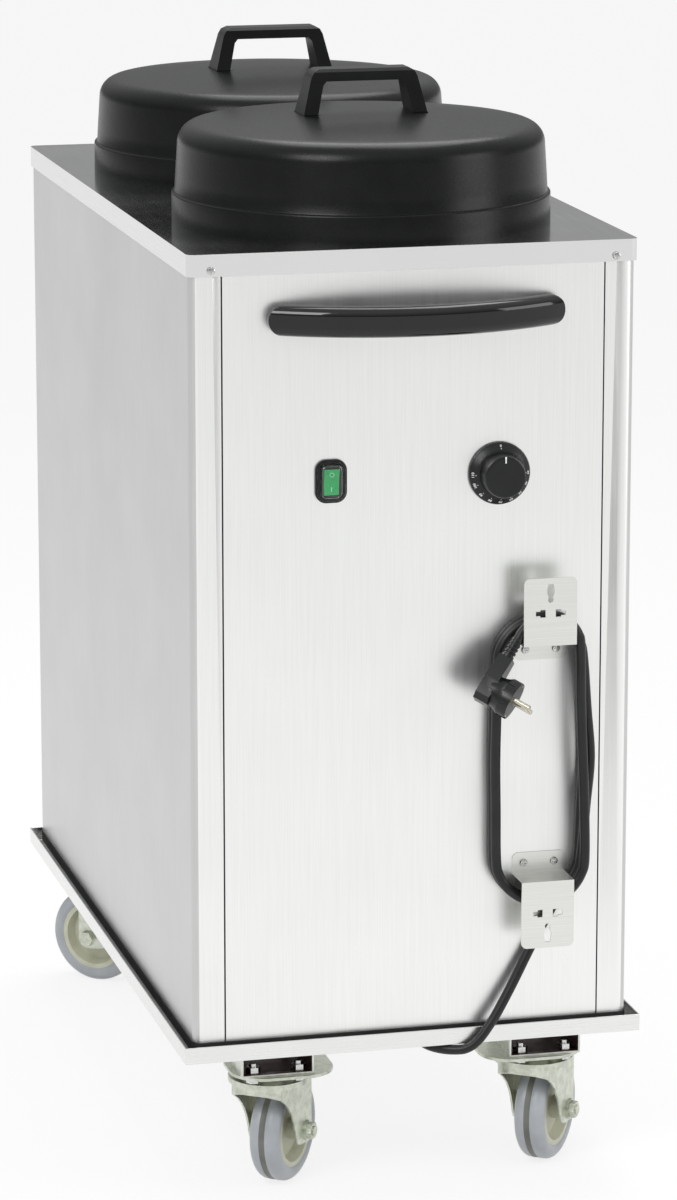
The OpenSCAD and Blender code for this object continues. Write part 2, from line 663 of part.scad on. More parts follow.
wire_gap = 0.05;   // between the end of a wire and what it is fixed to
run_y = fy + 45;   // upright wires pass between the frame and the well base here
module wire(k, points) sweep(concat([[term_x + k * term_pitch, term_y, floor_z + 10 + wire_gap],
    [term_x + k * term_pitch, term_y, floor_z + 27]], points), 2.5, 6, [1, 1, 0]);
module wiring() color("brown") {
    // mains, from the gland to the first terminal
    top = floor_z + gland_nut_h + 3 + wire_gap;
    wire(0, [[28, term_y + 6, floor_z + 38], [gland_p[0] + 3, gland_p[1] - 8, floor_z + 36],
        [gland_p[0], gland_p[1], floor_z + 26], [gland_p[0], gland_p[1], top]]);
    // to the switch and the thermostat
    wire(1, [[36, term_y - 4, floor_z + 45], [0, run_y, floor_z + 75], [-54, run_y, base_z - 50],
        [-60, run_y, base_z], [-60, run_y, base_z + 80], [-switch_x, run_y, ctrl_z - 90],
        [-switch_x, fy + 47, ctrl_z - 20], [-switch_x, fy + 45, ctrl_z - 9],
        [-switch_x, fy + 36 + wire_gap, ctrl_z - 9]]);
    wire(2, [[58, term_y - 4, floor_z + 45], [60, run_y, floor_z + 80], [60, run_y, base_z],
        [56, run_y, base_z + 80], [52, run_y, ctrl_z - 80], [66, stat_y + 45, ctrl_z - 30],
        [knob_x - 2, stat_y + 44, ctrl_z - 14], [knob_x, stat_y + 42, ctrl_z - 12],
        [knob_x, stat_y + 34 + wire_gap, ctrl_z - 12]]);
    // to the two heating elements
    wire(3, [[76, term_y + 18, floor_z + 50], [104, well_y[0] - 40, floor_z + 75],
        [heat_r, well_y[0] - heat_leg, base_z - 50],
        [heat_r, well_y[0] - heat_leg, base_z - 34 - wire_gap]]);
    wire(4, [[120, term_y + 30, floor_z + 42], [150, well_y[0] + 60, floor_z + 42],
        [150, well_y[1] - 100, floor_z + 52], [heat_r, well_y[1] - heat_leg, base_z - 50],
        [heat_r, well_y[1] - heat_leg, base_z - 34 - wire_gap]]);
}

// ---------- switch and knob ----------
sw_w = 22;
sw_h = 30;
rock_w = 15;
rock_h = 27.4;
rock_tilt = 7;
pivot_off = 1;
module switch_frame() color("black") difference() {
    union() {
        translate([-switch_x, fy, ctrl_z]) rotate([90, 0, 0]) linear_extrude(2.5) rrect(31.6, 42.8, 11);
        translate([-switch_x - sw_w / 2, fy - 1, ctrl_z - sw_h / 2]) cube([sw_w, 31, sw_h]);
        for (e = [-1, 0, 1]) translate([-switch_x - 3, fy + 29, ctrl_z + e * 9 - 0.5]) cube([6, 7, 1]);
    }
    translate([-switch_x - rock_w / 2 - near, fy - 10, ctrl_z - rock_h / 2 - near])
        cube([rock_w + 2 * near, 24, rock_h + 2 * near]);
    translate([-switch_x, fy - pivot_off, ctrl_z]) rotate([0, 90, 0])
        translate([0, 0, -9]) cylinder(r = 1 + fit, h = 18, $fn = 24);
}
// rocker with two faces that meet at a ridge, lower half pressed in
module rocker() color("green") translate([-switch_x, fy - pivot_off, ctrl_z]) rotate([rock_tilt, 0, 0]) {
    translate([-rock_w / 2, 0, 0]) rotate([90, 0, 90]) linear_extrude(rock_w)
        polygon([[2, -11], [-3.9, -rock_h / 2 + 0.5], [-2.7, 0], [-3.9, rock_h / 2 - 0.5], [2, 11], [6, 4], [6, -4]]);
    rotate([0, 90, 0]) translate([0, 0, -rock_w / 2 - 1]) cylinder(r = 1, h = rock_w + 2, $fn = 24);
}
hood_t = 1;
module switch_hood() color("lightblue", 0.4) translate([-switch_x, fy - 2.5, ctrl_z]) rotate([90, 0, 0])
    difference() {
        union() {
            linear_extrude(1.2) rrect(28.6, 39.8, 9.5);
            linear_extrude(5.5) rrect(22, 34, 6.5);
        }
        translate([0, 0, -1]) linear_extrude(5.5 + 1 - hood_t) rrect(22 - 2 * hood_t, 34 - 2 * hood_t, 6.5 - hood_t);
    }

shaft_r = 3;
knob_gap = 1;
module knob() color("black") translate([knob_x, fy, ctrl_z]) rotate([90, 0, 0]) {
    difference() {
        rotate_extrude($fn = 96) polygon([[0, 10], [8, 10], [8, knob_gap + 1.5], [24, knob_gap + 1.5],
            [24, knob_gap], [knob_r, knob_gap], [knob_r, 3], [knob_r - 1, 5], [knob_grip_r + 3.5, 9],
            [knob_grip_r + 1, 9.6], [knob_grip_r, knob_h - 3], [knob_grip_r - 0.8, knob_h - 0.9],
            [knob_grip_r - 3, knob_h], [0, knob_h]]);
        // pointer notch on the grip
        translate([-0.8, knob_grip_r - 7, knob_h - 0.8]) cube([1.6, 8, 3]);
        translate([0, 0, 5]) cylinder(r = shaft_r, h = 12, $fn = 48);
    }
    // spindle of the thermostat turns with the knob
    translate([0, 0, -wall_t - 18]) cylinder(r = shaft_r, h = wall_t + 18 + 17, $fn = 48);
}

// ---------- push handle ----------
grip_R = 276;
module push_handle() color("black") difference() {
    intersection() {
        translate([0, fy - grip_reach + grip_R, grip_z]) rotate([0, 0, 225])
            rotate_extrude(angle = 90, $fn = 256)
            translate([grip_R - grip_d / 2, 0]) rrect(grip_d, grip_h, 9);
        translate([0, fy, grip_z]) rotate([90, 0, 0]) linear_extrude(grip_reach + 5)
            rrect(2 * grip_half, grip_h, 0.4999 * grip_h);
    }
    for (e = [-1, 1]) to_front(e * grip_screw_x, grip_z, fy + 5, screw_r + fit, 5 + screw_l - wall_t + 0.5, 32);
}

// ---------- cord brackets ----------
// drawn for the upper one: foot below the shelf, plate above it, sheet in the X-Z plane
module plate_slots() {
    for (e = [-1, 1]) {
        translate([e * 7.9, 31.5]) square([5.4, 7.6], center = true);
        translate([e * 12.4, 31.5]) square([5.4, 4.6], center = true);
    }
    translate([0, 45]) circle(2.8, $fn = 32);
    polygon([[-1.6, 46], [1.6, 46], [4, 53], [2.6, 61], [-2.6, 61], [-4, 53]]);
}
module foot_shape() {
    translate([-brk_w / 2, -brk_foot + 6]) square([brk_w, brk_foot - 6]);
    translate([-brk_w / 2 + 6, -brk_foot]) square([brk_w - 12, 7]);
    for (e = [-1, 1]) translate([e * (brk_w / 2 - 6), -brk_foot + 6]) circle(6, $fn = 48);
}
module plate_shape() {
    translate([-brk_w / 2, -brk_t]) square([brk_w, brk_plate - 6 + brk_t]);
    translate([-brk_w / 2 + 6, 0]) square([brk_w - 12, brk_plate]);
    for (e = [-1, 1]) translate([e * (brk_w / 2 - 6), brk_plate - 6]) circle(6, $fn = 48);
}
module bracket(z, s) color("silver") translate([brk_x, fy, z]) {
    mirror([0, 0, s < 0 ? 1 : 0]) difference() {
        union() {
            rotate([90, 0, 0]) linear_extrude(brk_t) foot_shape();
            translate([-brk_w / 2, -brk_out, -brk_t]) cube([brk_w, brk_out, brk_t]);
            translate([0, -brk_out + brk_t, 0]) rotate([90, 0, 0]) linear_extrude(brk_t) plate_shape();
        }
        translate([0, -brk_out + 5, 0]) rotate([90, 0, 0]) linear_extrude(10) plate_slots();
        for (e = [-1, 1]) translate([e * brk_screw, 5, -brk_screw_d]) rotate([90, 0, 0])
            cylinder(r = screw_r + fit, h = 10, $fn = 32);
    }
}

// ---------- cord ----------
// route of the lead from the gland's nose to the winding: x, distance in front of the panel and
// rise above the underside of the tray, which is stretched with the height of the lower bracket
lead_rise = [[16.5, -70, -6], [16.5, -48, -6], [16.5, -27.4, -6], [18.6, -14.4, -6], [24.5, -2.7, -6],
    [33.8, 6.6, -5.9], [45.5, 12.5, -5.2], [52, 15.2, -3.4], [59, 17, 0.9], [66, 17.7, 8],
    [73, 17.3, 17], [80.5, 16.4, 27.5], [88, 15, 39.6], [96, 13.3, 53], [104.5, 11.5, 68],
    [113.5, 9.7, 84.6], [123.5, 8, 102.5], [134.5, 6.7, 121.7], [146, 5.8, 141], [157, 5.5, 158.7]];
wind_lo = brk_lo_z + 21.5;
wind_hi = brk_up_z - 22;
lead_k = (wind_lo - tray_z) / 190.5;
lead_route = [for (p = lead_rise) [p[0], p[1], tray_z + p[2] * (p[2] < 0 ? 1 : lead_k)]];
function on_front(p) = [p[0], fy - p[1], p[2]];

// winding round the two shelves: three layers one in front of the other
wind_x = 125;
wind_r = 44;
layer = [5.5, 16.1, 28];
bow_left = 1.5;
bow_right = [4, 8, 0];
start_a = 328;
end_x = 129.4;
end_z = brk_up_z - 5.6;
end_r = 33;
plug_tip = [97, 31, brk_up_z + 6];      // end of the strain relief: x, in front of the panel, z
plug_mid = [64.9, 42, brk_up_z - 37.5]; // where the arm leaves the plug
arm = unit(plug_tip - plug_mid);
end_a = 180 - atan2(arm[0], arm[2]);
function smooth(s) = s * s * (3 - 2 * s);
function climb(s) = s > 0.8 ? 1 : smooth(s / 0.8);
function low_arc(k, a) = [wind_x + wind_r * cos(a),
    layer[k] + (layer[k + 1] - layer[k]) * climb((a - 180) / 180), wind_lo + wind_r * sin(a)];
function high_arc(k, a) = [wind_x + wind_r * cos(a), layer[k], wind_hi + wind_r * sin(a)];
function left_run(k, s) = [wind_x - wind_r - bow_left * pow(sin(180 * s), 2), layer[k],
    wind_hi - s * (wind_hi - wind_lo)];
function right_run(k, s) = k < 2
    ? [wind_x + wind_r + bow_right[k] * pow(sin(180 * s), 2), layer[k], wind_lo + s * (wind_hi - wind_lo)]
    : [wind_x + wind_r + (end_x + end_r - wind_x - wind_r) * smooth(s), layer[k],
        wind_lo + s * (end_z - wind_lo)];
last = plug_tip + 10 * arm;
function end_arc(s) = let (a = s * end_a)
    [end_x + end_r * cos(a), layer[2] - 11.2 * s * s + 12.4 * s * s * s, end_z + end_r * sin(a)];
wind_route = concat(
    [lead_route[len(lead_route) - 1]],
    [for (a = [start_a, 344]) [wind_x + wind_r * cos(a), layer[0], wind_lo + wind_r * sin(a)]],
    [for (s = [0 : 0.25 : 0.75]) right_run(0, s)], [for (a = [0 : 22.5 : 157.5]) high_arc(0, a)],
    [for (s = [0 : 0.25 : 0.75]) left_run(0, s)], [for (a = [180 : 22.5 : 337.5]) low_arc(0, a)],
    [for (s = [0 : 0.25 : 0.75]) right_run(1, s)], [for (a = [0 : 22.5 : 157.5]) high_arc(1, a)],
    [for (s = [0 : 0.25 : 0.75]) left_run(1, s)], [for (a = [180 : 22.5 : 337.5]) low_arc(1, a)],
    [for (s = [0 : 0.25 : 0.75]) right_run(2, s)], [for (s = [0 : 1 / 6 : 0.99]) end_arc(s)],
    [last, plug_tip]);
function seg_gap(P, i, j) = norm((P[i] + P[i + 1]) / 2 - (P[j] + P[j + 1]) / 2);
gaps = [for (i = [0 : len(wind_route) - 2], j = [i + 5 : len(wind_route) - 2])
    min(norm(wind_route[i] - wind_route[j]), seg_gap(wind_route, i, j))];
echo(least_gap_of_winding = min(gaps) - 2 * cord_r, rings = len(wind_route));
function route_len(P) = len(P) < 2 ? 0 : norm(P[1] - P[0]) + route_len([for (i = [1 : len(P) - 1]) P[i]]);
echo(cord_length = route_len(lead_route) + route_len(wind_route), end_arc_end = end_arc(1), last = last);

// the two solids of the cord meet on one plane
joint_dir = unit(on_front(wind_route[1]) - on_front(lead_route[len(lead_route) - 2]));
module cord_lead() color("black")
    sweep([for (p = lead_route) on_front(p)], cord_r, 8, [0.3, 0.2, 1], last = joint_dir);
module cord_winding() color("black")
    sweep([for (p = wind_route) on_front(p)], cord_r - 0.05, 6, [0, 1, 0], first = joint_dir);

// gland under the tray: elbow with a nut inside the tray and a nose to the front along the lead
nose_l = 16;
elbow = 26;
gland_stub_r = 8;
gland_nut_h = 5;
gland_p = [lead_rise[0][0], fy - lead_rise[0][1] + nose_l + elbow / 2 - 1];
module cable_gland() color("black") translate([gland_p[0], gland_p[1], 0]) {
    translate([-elbow / 2, -elbow / 2, tray_z - 16]) cube([elbow, elbow, 16]);
    translate([0, 1 - elbow / 2, tray_z + lead_rise[0][2]]) rotate([90, 0, 0]) {
        cylinder(r = 5.9, h = 8, $fn = 6);
        translate([0, 0, 7]) rotate_extrude($fn = 48)
            polygon([[0, 0], [5.9, 0], [5.6, nose_l - 7], [0, nose_l - 7]]);
    }
    // threaded stub through the tray with its nut on the tray floor
    translate([0, 0, tray_z - 1]) cylinder(r = gland_stub_r, h = tray_t + gland_nut_h + 4, $fn = 48);
    translate([0, 0, floor_z]) cylinder(r = 13, h = gland_nut_h, $fn = 6);
}

// plug: X along the pins, Z along the arm, drawn about the arm's foot
plug_z = [arm[0], -arm[1], arm[2]];
pins_to = [0.742, -0.526, -0.414];   // roughly where the pins point
plug_x = unit(pins_to - (pins_to * plug_z) * plug_z);
plug_y = cross(plug_z, plug_x);
arm_l = norm(plug_tip - plug_mid);
module in_plug() {
    o = on_front(plug_mid);
    multmatrix([[plug_x[0], plug_y[0], plug_z[0], o[0]], [plug_x[1], plug_y[1], plug_z[1], o[1]],
        [plug_x[2], plug_y[2], plug_z[2], o[2]], [0, 0, 0, 1]]) children();
}
plug_face = 29;
plug_r = 19.5;
pin_l = 19;
pin_r = 2.4;
pin_half = 9.5;
root_r = 3;        // thicker root of a pin inside the body
root_l = 12;
clip_c = 16.9;
module plug_body() color("black") in_plug() difference() {
    union() {
        // round front part that flares to the face
        rotate([0, 90, 0]) rotate_extrude($fn = 64) polygon([[0, 3], [14, 3], [15.4, 10], [17, 15],
            [plug_r, 19], [plug_r, plug_face], [0, plug_face]]);
        // back and arm
        translate([-7, 0, 0]) rotate([0, 90, 0]) linear_extrude(15)
            polygon([[17, -8], [17, 8], [11, 13.5], [-8, 13.5], [-34, 8.5], [-34, -8.5],
                [-8, -13.5], [11, -13.5]]);
        // strain relief with ribs
        translate([0, 0, 30]) rotate_extrude($fn = 48) polygon(concat([[0, 0], [6.5, 0]],
            [for (k = [0 : 3]) each [[6.5 - k * 0.2, 7 + k * 4.4], [5.2, 7.4 + k * 4.4],
                [5.2, 9 + k * 4.4], [6.4 - k * 0.2, 9.4 + k * 4.4]]],
            [[5.6, arm_l - 30], [0, arm_l - 30]]));
    }
    // grips of the round part
    for (a = [60, 90, 120, 240, 270, 300]) rotate([a, 0, 0])
        translate([17, -1, plug_r - 0.8]) cube([plug_face - 20, 2, 3]);
    for (e = [-1, 1]) translate([plug_face - root_l, e * pin_half, 0]) rotate([0, 90, 0])
        cylinder(r = root_r + fit, h = root_l + 5, $fn = 32);
    // recess for the earth clips
    for (e = [-1, 1]) translate([plug_face - 10, -3, e * (clip_c + 1.3) - 2.3]) cube([15, 6, 4.6]);
}
module plug_pins() color("lightgray") in_plug() {
    for (e = [-1, 1]) translate([plug_face - root_l, e * pin_half, 0]) rotate([0, 90, 0]) {
        cylinder(r = root_r, h = root_l, $fn = 32);
        cylinder(r = pin_r, h = root_l + pin_l - 1, $fn = 32);
        translate([0, 0, root_l + pin_l - 1]) cylinder(r1 = pin_r, r2 = pin_r - 1, h = 1, $fn = 32);
    }
    for (e = [-1, 1]) translate([plug_face - 10, -2.5, e * clip_c - 0.8]) cube([10, 5, 1.6]);
}

// ---------- assembly ----------
corners = ["fl", "fr", "rl", "rr"];
tray();
caster_spacers();
chassis_frame();
side_panel(-1);  // side_panel_left
side_panel(1);  // side_panel_right
front_panel();
rear_panel();
deck_top();
panel_screws();
well_collars();
plate_tube(0);  // plate_tube_front
plate_tube(1);  // plate_tube_rear
guide_bars();
well_bases();
spring(0);  // spring_front
spring(1);  // spring_rear
platform(0);  // platform_front
platform(1);  // platform_rear
lid(0);  // lid_front
lid(1);  // lid_rear
lid_handle(0);  // lid_handle_front
lid_handle(1);  // lid_handle_rear
lid_screws(0);  // lid_screws_front
lid_screws(1);  // lid_screws_rear
heaters();
thermostat_body();
safety_cutout();
terminal_block();
wiring();
cable_gland();
switch_frame();
switch_hood();
rocker();
knob();
push_handle();
bracket(brk_up_z, 1);  // bracket_upper
bracket(brk_lo_z, -1);  // bracket_lower
caster_plates();
caster_bolts();
for (i = [0 : 3]) {
    fork(i);
    axle(i);
    rim(i);
    tyre(i);
}
cord_lead();
cord_winding();
plug_body();
plug_pins();
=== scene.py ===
"""Looks of a heated plate dispenser trolley: cabinet, lids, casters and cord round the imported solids."""

import json
import math

import bmesh
import bpy
from mathutils import Matrix, Vector

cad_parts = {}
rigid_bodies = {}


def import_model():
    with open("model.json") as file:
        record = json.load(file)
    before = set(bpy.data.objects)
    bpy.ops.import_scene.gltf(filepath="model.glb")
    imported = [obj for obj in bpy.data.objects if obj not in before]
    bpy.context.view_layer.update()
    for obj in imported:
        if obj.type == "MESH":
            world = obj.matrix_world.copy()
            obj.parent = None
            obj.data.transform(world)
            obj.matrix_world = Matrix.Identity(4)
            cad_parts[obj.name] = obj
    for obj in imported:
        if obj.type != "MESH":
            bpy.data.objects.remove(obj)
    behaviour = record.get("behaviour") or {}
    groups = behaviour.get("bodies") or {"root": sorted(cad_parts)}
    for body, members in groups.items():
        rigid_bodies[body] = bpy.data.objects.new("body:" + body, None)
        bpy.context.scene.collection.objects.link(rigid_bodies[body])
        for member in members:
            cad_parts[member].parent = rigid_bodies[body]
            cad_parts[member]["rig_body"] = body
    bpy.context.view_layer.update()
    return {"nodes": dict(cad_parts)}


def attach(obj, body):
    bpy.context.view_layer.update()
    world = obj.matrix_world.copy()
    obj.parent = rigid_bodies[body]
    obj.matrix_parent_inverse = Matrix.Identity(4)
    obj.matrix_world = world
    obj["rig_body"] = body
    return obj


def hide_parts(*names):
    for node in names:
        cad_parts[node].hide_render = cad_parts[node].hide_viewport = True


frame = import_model()
nodes = frame["nodes"]

# lengths below are millimetres, turned to metres where a mesh is placed
MM = 0.001
WALL_Y = 22.0           # middle of the cabinet's walls
FRONT = -388.0          # plane of the front panel
DECK = 957.0            # top of the deck sheet
WELLS = {"front": -176.0, "rear": 220.0}            # middle of each well along Y
CONTROLS = 731.0        # height of switch and knob
SWITCH_X = -83.9
KNOB_X = 85.4
CASTERS = {             # x and y of each king pin, and the caster's turn in degrees
    "fl": (-138, -348, 53),
    "fr": (138, -348, 53),
    "rl": (-138, 372, 139),
    "rr": (138, 372, 62),
}
TRAIL = 34              # from king pin to axle
AXLE_Z = 54             # height of the axles
TO_FRONT = Matrix.Rotation(math.pi / 2, 4, "X")     # local Z points at the viewer, local Y up


# ---------- camera, in metres and degrees, as fitted to the photograph ----------
CAMERA_PLACE = (-1.1961, -4.8835, 1.6649)
CAMERA_TILT, CAMERA_TURN = 77.2, -13.991
LENS_MM, SENSOR_MM = 146.262, 36
VIEW_END = 50


def stand_camera():
    """The photograph's view: from the left and above, through a long lens."""
    data = bpy.data.cameras.new("camera")
    data.sensor_width = SENSOR_MM
    data.lens = LENS_MM
    data.clip_end = VIEW_END
    cam = bpy.data.objects.new("camera", data)
    cam.location = CAMERA_PLACE
    cam.rotation_euler = (math.radians(CAMERA_TILT), 0, math.radians(CAMERA_TURN))
    bpy.context.scene.collection.objects.link(cam)
    bpy.context.scene.camera = cam


stand_camera()
bpy.context.scene.view_settings.view_transform = "Standard"


# ---------- cord route, the same points as the solids ----------
CORD_R = 5
TRAY_Z = 153            # top of the tray's floor
UPPER = DECK - 393      # shelf of the upper bracket
LOWER = DECK - 635      # shelf of the lower bracket
# the lead from the gland to the winding: x, distance before the front panel, height over the tray
RISE = [(16.5, -70, -6), (16.5, -48, -6), (16.5, -27.4, -6), (18.6, -14.4, -6), (24.5, -2.7, -6),
        (33.8, 6.6, -5.9), (45.5, 12.5, -5.2), (52, 15.2, -3.4), (59, 17, 0.9), (66, 17.7, 8),
        (73, 17.3, 17), (80.5, 16.4, 27.5), (88, 15, 39.6), (96, 13.3, 53), (104.5, 11.5, 68),
        (113.5, 9.7, 84.6), (123.5, 8, 102.5), (134.5, 6.7, 121.7), (146, 5.8, 141), (157, 5.5, 158.7)]
WIND_X, WIND_R, WIND_LO, WIND_HI = 125, 44, LOWER + 21.5, UPPER - 22
LAYER = (5.5, 16.1, 28)                         # distance of each turn before the front panel
MOVED_OVER = 0.8                                # share of the lower bend that changes the layer
BOW_LEFT, BOW_RIGHT = 1.5, (4, 8)               # how far the straight runs bow outwards
END_X, END_Z, END_R = 129.4, UPPER - 5.6, 33    # last bend, over the upper shelf to the plug
END_LEAN, END_LIFT = 11.2, 12.4                 # that bend goes back over the shelf, then out again
PLUG_TIP = Vector((97, 31, UPPER + 6))          # where the cord enters the plug's strain relief
PLUG_MID = Vector((64.9, 42, UPPER - 37.5))
ARM = (PLUG_TIP - PLUG_MID).normalized()


def smooth(s):
    return s * s * (3 - 2 * s)


def arc(k, z, degrees):
    """A point of the winding's bend k over the upper shelf or, past 180 degrees, under the lower one."""
    a = math.radians(degrees)
    off = LAYER[k]
    if degrees >= 180:
        s = (degrees - 180) / 180
        off += (LAYER[k + 1] - LAYER[k]) * (1 if s > MOVED_OVER else smooth(s / MOVED_OVER))
    return (WIND_X + WIND_R * math.cos(a), off, z + WIND_R * math.sin(a))


def run(k, s, side):
    """A point of straight run k, down the left side or up the right one."""
    if side < 0:
        return (WIND_X - WIND_R - BOW_LEFT * math.sin(math.pi * s) ** 2, LAYER[k],
                WIND_HI - s * (WIND_HI - WIND_LO))
    if k < 2:
        return (WIND_X + WIND_R + BOW_RIGHT[k] * math.sin(math.pi * s) ** 2, LAYER[k],
                WIND_LO + s * (WIND_HI - WIND_LO))
    return (WIND_X + WIND_R + (END_X + END_R - WIND_X - WIND_R) * smooth(s), LAYER[2],
            WIND_LO + s * (END_Z - WIND_LO))


def cord_route():
    """Gland to plug: the lead, two turns and a part of a third round the brackets, and the plug's arm."""
    quarters = (0, 0.25, 0.5, 0.75)
    points = [(x, off, TRAY_Z + rise) for x, off, rise in RISE]
    for degrees in (328, 344):      # the lead joins the lower bend of the first turn
        a = math.radians(degrees)
        points.append((WIND_X + WIND_R * math.cos(a), LAYER[0], WIND_LO + WIND_R * math.sin(a)))
    for k in (0, 1):
        points += [run(k, s, 1) for s in quarters]
        points += [arc(k, WIND_HI, 22.5 * i) for i in range(8)]
        points += [run(k, s, -1) for s in quarters]
        points += [arc(k, WIND_LO, 180 + 22.5 * i) for i in range(8)]
    points += [run(2, s, 1) for s in quarters]
    sweep = math.pi - math.atan2(ARM[0], ARM[2])
    for i in range(6):
        s = i / 6
        a = s * sweep
        points.append((END_X + END_R * math.cos(a), LAYER[2] - END_LEAN * s ** 2 + END_LIFT * s ** 3,
                       END_Z + END_R * math.sin(a)))
    points += [tuple(PLUG_TIP + 10 * ARM), tuple(PLUG_TIP)]
    return [Vector((x, FRONT - off, z)) * MM for x, off, z in points]


def rounded(points, steps=5):
    """A smooth line through all the points, with a few more between each two."""
    line = []
    for i in range(len(points) - 1):
        a, b, c, d = (points[min(max(i + j, 0), len(points) - 1)] for j in (-1, 0, 1, 2))
        for j in range(steps):
            t = j / steps
            line.append(0.5 * (2 * b + (c - a) * t + (2 * a - 5 * b + 4 * c - d) * t ** 2
                               + (3 * b - a - 3 * c + d) * t ** 3))
    return line + [points[-1]]


# ---------- materials ----------
def srgb(hex_value):
    """sRGB hex to linear colour."""
    parts = (int(hex_value[i:i + 2], 16) / 255 for i in (1, 3, 5))
    return tuple(c / 12.92 if c <= 0.04045 else ((c + 0.055) / 1.055) ** 2.4 for c in parts) + (1.0,)


def wire(tree, kind, settings=None, links=None):
    """Adds a node; settings are properties or input values, links feed its inputs."""
    made = tree.nodes.new(kind)
    for key, value in (settings or {}).items():
        if isinstance(key, str) and key in made.bl_rna.properties:
            setattr(made, key, value)
        else:
            made.inputs[key].default_value = value
    for key, source in (links or {}).items():
        tree.links.new(source, made.inputs[key])
    return made


def material(name, **values):
    """A principled material with its even values set on the shader's own sockets."""
    made = bpy.data.materials.new(name)
    made.use_nodes = True
    shader = made.node_tree.nodes["Principled BSDF"]
    for key, value in values.items():
        shader.inputs[key.replace("_", " ")].default_value = value
    return made, made.node_tree, shader


def grain_field(tree, cell_mm, stretch=(1, 1, 1), detail=2.0, rough=0.5):
    """Noise on object coordinates with cells of that size, stretched along an axis."""
    coords = wire(tree, "ShaderNodeTexCoord")
    scale = [1 / (cell_mm * MM * s) for s in stretch]
    place = wire(tree, "ShaderNodeMapping", {"Scale": scale}, {"Vector": coords.outputs["Object"]})
    return wire(tree, "ShaderNodeTexNoise", {"Scale": 1.0, "Detail": detail, "Roughness": rough},
                {"Vector": place.outputs["Vector"]}).outputs["Fac"]


def spread(tree, field, low, high, start=0.3, end=0.7):
    """Maps a field's middle range to values from low to high."""
    return wire(tree, "ShaderNodeMapRange",
                {"From Min": start, "From Max": end, "To Min": low, "To Max": high},
                {"Value": field}).outputs["Result"]


def blend_colours(tree, field, first, second, start=0.3, end=0.7):
    """Mixes two sRGB colours by a field."""
    mix = wire(tree, "ShaderNodeMix", {"data_type": "RGBA", 6: srgb(first), 7: srgb(second)})
    tree.links.new(spread(tree, field, 0, 1, start, end), mix.inputs[0])
    return mix.outputs[2]


def relief(tree, shader, field, height_mm, strength):
    """Small height changes of a surface as bump."""
    bump = wire(tree, "ShaderNodeBump", {"Strength": strength, "Distance": height_mm * MM}, {"Height": field})
    tree.links.new(bump.outputs["Normal"], shader.inputs["Normal"])


SCRATCH_MM, SCRATCH_STRETCH, HAZE_MM = 0.6, 160, 90


def ground_steel(name, dark, bright, along, roughness, relief_mm=0.004):
    """Stainless sheet, ground in one direction: fine straight scratches that spread a reflection
    across the grain. Real scratches of 0.1 mm are drawn wider so that they show."""
    made, tree, shader = material(name, Metallic=1.0)
    stretch = [1, 1, 1]
    stretch[along] = SCRATCH_STRETCH
    scratches = grain_field(tree, SCRATCH_MM, stretch, rough=0.6)
    haze = grain_field(tree, HAZE_MM)
    tree.links.new(blend_colours(tree, scratches, dark, bright), shader.inputs["Base Color"])
    base = spread(tree, scratches, roughness - 0.03, roughness + 0.04)
    total = wire(tree, "ShaderNodeMath", {"operation": "ADD"},
                 {0: base, 1: spread(tree, haze, -0.02, 0.03)})
    tree.links.new(total.outputs[0], shader.inputs["Roughness"])
    relief(tree, shader, scratches, relief_mm, 0.4)
    return made


def moulded(name, dark, light, roughness, cell_mm, height_mm, **values):
    """Injection-moulded plastic: one colour with a faint cloud in it, and an even fine skin."""
    made, tree, shader = material(name, **values)
    cloud = grain_field(tree, 25, detail=3.0)
    skin = grain_field(tree, cell_mm, detail=1.5)
    tree.links.new(blend_colours(tree, cloud, dark, light), shader.inputs["Base Color"])
    tree.links.new(spread(tree, skin, roughness - 0.03, roughness + 0.04), shader.inputs["Roughness"])
    relief(tree, shader, skin, height_mm, 0.6)
    return made


def plated(name, first, second, roughness, cell_mm):
    """Plated pressed steel: a cloudy sheen of two tints, duller where the plating is thicker."""
    made, tree, shader = material(name, Metallic=1.0)
    cloud = grain_field(tree, cell_mm, detail=4.0, rough=0.6)
    tree.links.new(blend_colours(tree, cloud, first, second, 0.38, 0.62), shader.inputs["Base Color"])
    tree.links.new(spread(tree, cloud, roughness - 0.06, roughness + 0.1), shader.inputs["Roughness"])
    relief(tree, shader, grain_field(tree, 1.2, detail=2.0), 0.02, 0.5)
    return made


# one ground stainless in two copies: painted light on the front (much brighter base colour), painted shade on
# the sides (greyer base colour)
STEEL_PAINTED_LIT = ground_steel("stainless_painted_lit_front", "#f1f2f0", "#f9faf8", 2, 0.32, 0.0015)
STEEL_PAINTED_SHADE = ground_steel("stainless_painted_shade_sides", "#c6c7c6", "#d2d3d2", 2, 0.36)
STEEL_DECK = ground_steel("stainless_ground_deck", "#d8d9d8", "#e6e7e6", 1, 0.13, 0.002)
STEEL_TRAY = ground_steel("stainless_folded_tray", "#e4e5e3", "#f0f1ef", 0, 0.28)
STEEL_BRACKET = ground_steel("stainless_pressed_brackets", "#e0e0dc", "#eaebe7", 0, 0.33, 0.002)
STEEL_DRAWN = plated("stainless_spun_satin", "#b9bbbb", "#cfd0cf", 0.3, 14)
TUBE_METAL = plated("aluminised_tube_steel", "#a7abad", "#bcbfc1", 0.4, 10)
FRAME_PAINT = moulded("painted_frame_steel", "#1d1e1f", "#28292a", 0.5, 1.2, 0.03)
SCREW_METAL = plated("bright_screw_steel", "#c2c3c2", "#dcdcda", 0.22, 3)
SPRING_METAL = plated("oiled_spring_steel", "#5d6063", "#777a7d", 0.33, 6)
HEATER_METAL = plated("heated_sheath_steel", "#4d4a45", "#6a675f", 0.45, 8)
ZINC = plated("zinc_plated_pressed_steel", "#b9beb0", "#d5d8cc", 0.32, 9)
CHANNEL_ZINC = plated("zinc_plated_channel_steel", "#cfd0ca", "#e2e3dd", 0.3, 12)
